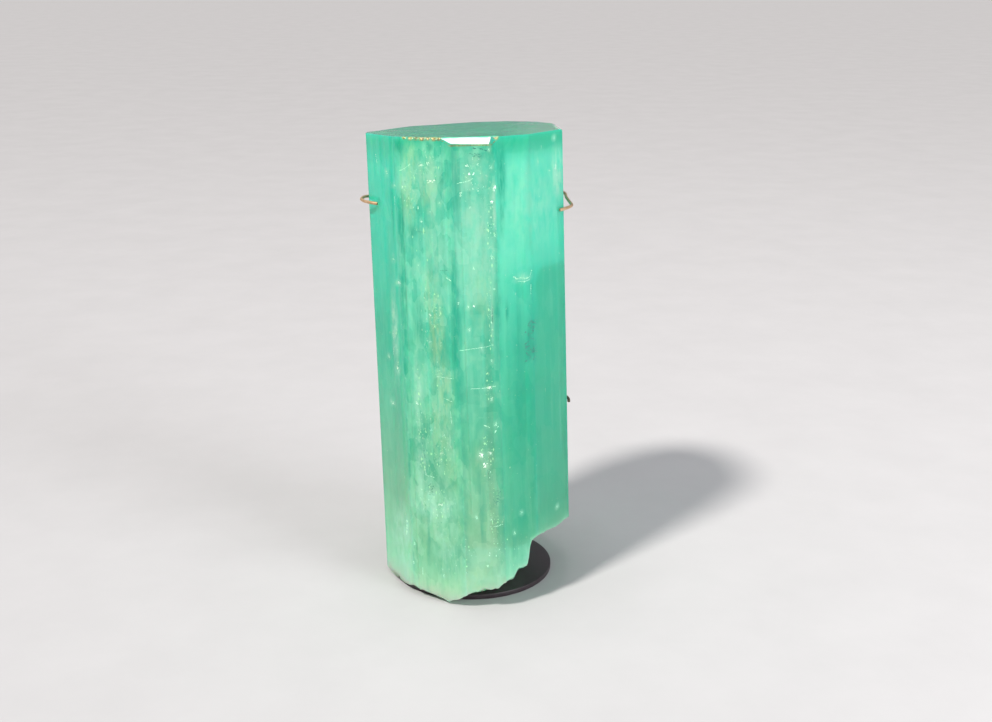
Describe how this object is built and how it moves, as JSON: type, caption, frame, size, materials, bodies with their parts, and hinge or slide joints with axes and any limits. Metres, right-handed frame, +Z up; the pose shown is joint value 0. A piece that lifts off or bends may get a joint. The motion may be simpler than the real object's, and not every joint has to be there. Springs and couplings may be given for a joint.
{
  "type": "emerald crystal on a display stand",
  "caption": "Tall translucent green beryl prism with a flat top and a broken foot, standing on a thin round plate and held by thin wire claws from a post behind it.",
  "frame": {"origin": "centre of the round base plate's underside, on the surface that the object stands on", "axes": "+Z up, along the crystal within a few degrees; +X to the right and +Y to the back as the crystal is seen from its front, where the big chip on the top edge is"},
  "size_m": [0.0463, 0.0521, 0.1004],
  "materials": {
    "emerald": "cloudy translucent beryl, glossy growth faces, vertical veils and striations",
    "black_paint": "satin black",
    "brass": "bright drawn wire, slightly browned"
  },
  "bodies": {
    "root": {"crystal": "emerald", "base_plate": "black_paint", "back_post": "brass", "upper_claw_left": "brass", "upper_claw_right": "brass", "lower_claw_left": "brass", "lower_claw_right": "brass"}
  },
  "joints": []
}
